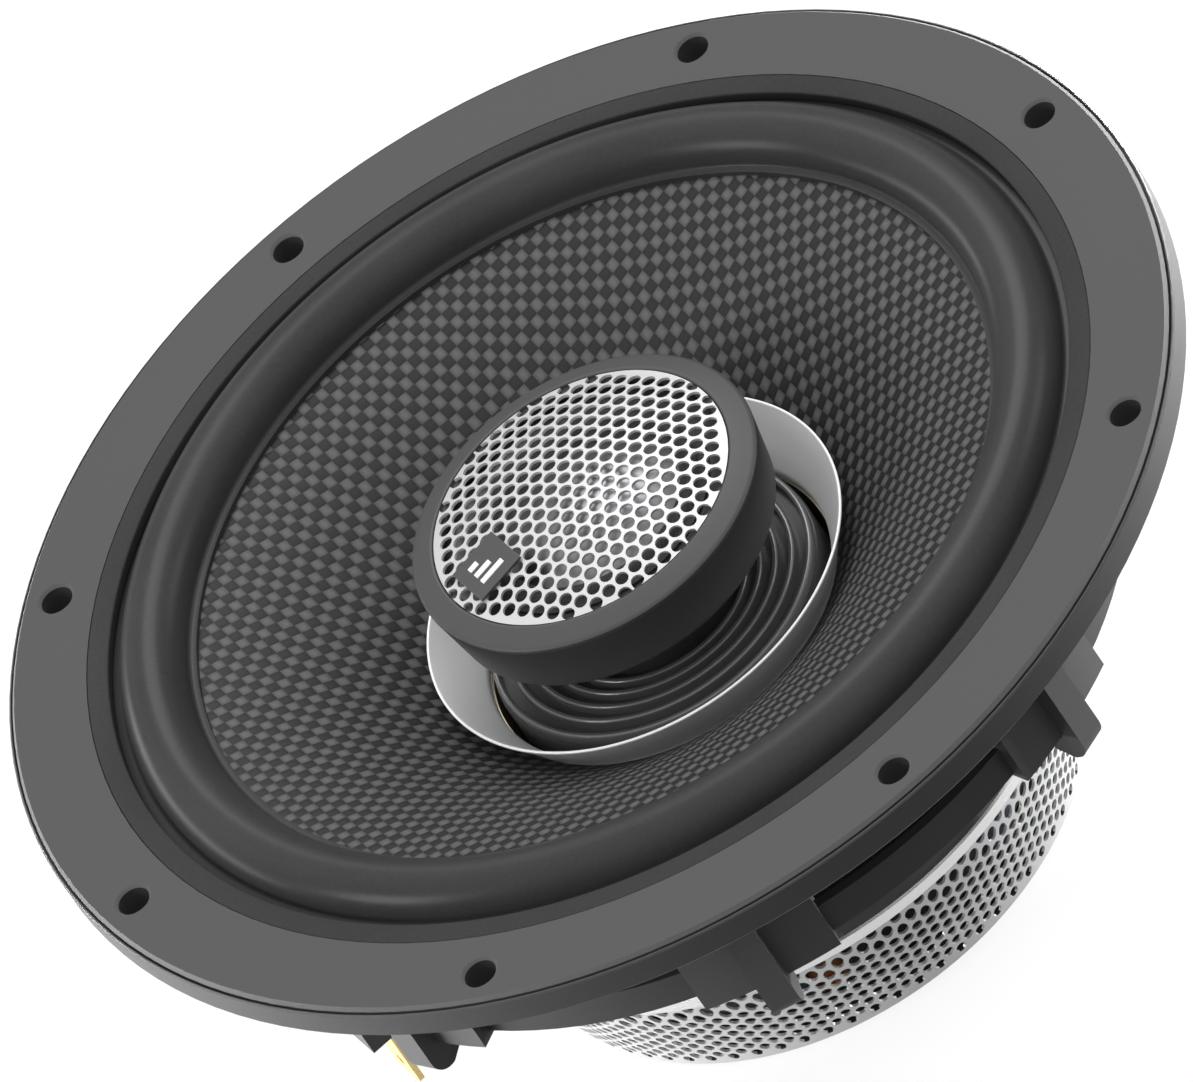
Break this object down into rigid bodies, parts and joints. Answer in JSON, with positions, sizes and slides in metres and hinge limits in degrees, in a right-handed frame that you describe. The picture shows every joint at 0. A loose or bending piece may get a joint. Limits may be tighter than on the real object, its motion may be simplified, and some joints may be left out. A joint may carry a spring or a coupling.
{
  "type": "coaxial car speaker",
  "caption": "Coaxial car speaker: round flanged basket with a woven cone on a rubber surround, a tweeter on a central post and a perforated cover round the motor.",
  "frame": {"origin": "centre of the flange's rear face, which sits on the mounting panel", "axes": "+Z runs along the speaker's axis towards the listener; the terminals are at -X; +Y completes the right hand frame"},
  "size_m": [0.165, 0.165, 0.0695],
  "materials": {
    "basket_casting": "satin powder coat",
    "gasket": "flat closed-cell ring",
    "surround_rubber": "semi-gloss rubber",
    "woven_cone": "woven fibre with a clear binder",
    "polished_collar": "bright satin",
    "coil_former_foil": "anodised foil",
    "copper_winding": "enamelled winding",
    "spider_cloth": "resin treated cloth",
    "bright_plate": "bright zinc",
    "screw_steel": "black zinc",
    "yoke_steel": "black electrophoretic coat",
    "magnet_nickel": "nickel plate",
    "pole_steel": "machined steel",
    "shorting_copper": "bare copper",
    "perforated_cover": "bright perforated sheet",
    "circuit_board": "green solder mask",
    "capacitor_film": "film wrap",
    "inductor_winding": "enamelled winding",
    "resistor_ceramic": "white cement",
    "plug_plastic": "satin moulding",
    "post_aluminium": "turned",
    "stem_plastic": "satin moulding",
    "bolt_steel": "zinc plate",
    "nut_steel": "zinc plate",
    "housing_plastic": "fine satin moulding",
    "bezel_plastic": "fine satin moulding",
    "grille_metal": "bright perforated sheet",
    "badge_tile": "dark tile with a plain mark",
    "tweeter_yoke_steel": "zinc plate",
    "tweeter_magnet_nickel": "nickel plate",
    "tweeter_pole_steel": "machined steel",
    "faceplate_aluminium": "satin anodised",
    "dome_metal": "satin foil",
    "tweeter_winding": "enamelled winding",
    "dome_surround_cloth": "coated cloth",
    "terminal_plastic": "moulded",
    "gold_plate_positive": "gold plated",
    "gold_plate_negative": "gold plated",
    "rivet_metal": "plain rivets",
    "lead_braid": "braided copper"
  },
  "bodies": {
    "basket": {"basket": "basket_casting", "gasket_ring": "gasket", "front_plate": "bright_plate", "motor_screws": "screw_steel", "yoke_cup": "yoke_steel", "motor_magnet": "magnet_nickel", "pole_plate": "pole_steel", "shorting_ring": "shorting_copper", "mesh_cover": "perforated_cover", "crossover_board": "circuit_board", "crossover_capacitors": "capacitor_film", "crossover_inductor": "inductor_winding", "crossover_resistor": "resistor_ceramic", "ringed_plug": "plug_plastic", "tweeter_post": "post_aluminium", "tweeter_stem": "stem_plastic", "tweeter_bolt": "bolt_steel", "tweeter_nut": "nut_steel", "tweeter_housing": "housing_plastic", "tweeter_bezel": "bezel_plastic", "tweeter_grille": "grille_metal", "grille_badge": "badge_tile", "tweeter_yoke": "tweeter_yoke_steel", "tweeter_magnet": "tweeter_magnet_nickel", "tweeter_pole": "tweeter_pole_steel", "tweeter_faceplate": "faceplate_aluminium", "terminal_block": "terminal_plastic", "terminal_tab_positive": "gold_plate_positive", "terminal_tab_negative": "gold_plate_negative", "terminal_rivets": "rivet_metal", "tinsel_leads": "lead_braid"},
    "cone": {"cone": "woven_cone", "cone_collar": "polished_collar", "coil_former": "coil_former_foil", "voice_coil": "copper_winding", "spider": "spider_cloth", "surround": "surround_rubber"},
    "tweeter_dome": {"tweeter_dome": "dome_metal", "tweeter_coil": "tweeter_winding", "tweeter_dome_surround": "dome_surround_cloth"}
  },
  "joints": [
    {"name": "cone_travel", "type": "slide", "parent": "basket", "child": "cone", "axis": [0, 0, 1], "range_m": [-0.005, 0.005], "stiffness_N_per_m": 2500, "deforming": ["surround", "spider"]},
    {"name": "dome_travel", "type": "slide", "parent": "basket", "child": "tweeter_dome", "axis": [0, 0, 1], "range_m": [-0.0003, 0.0003], "stiffness_N_per_m": 500, "deforming": ["tweeter_dome_surround"]}
  ]
}
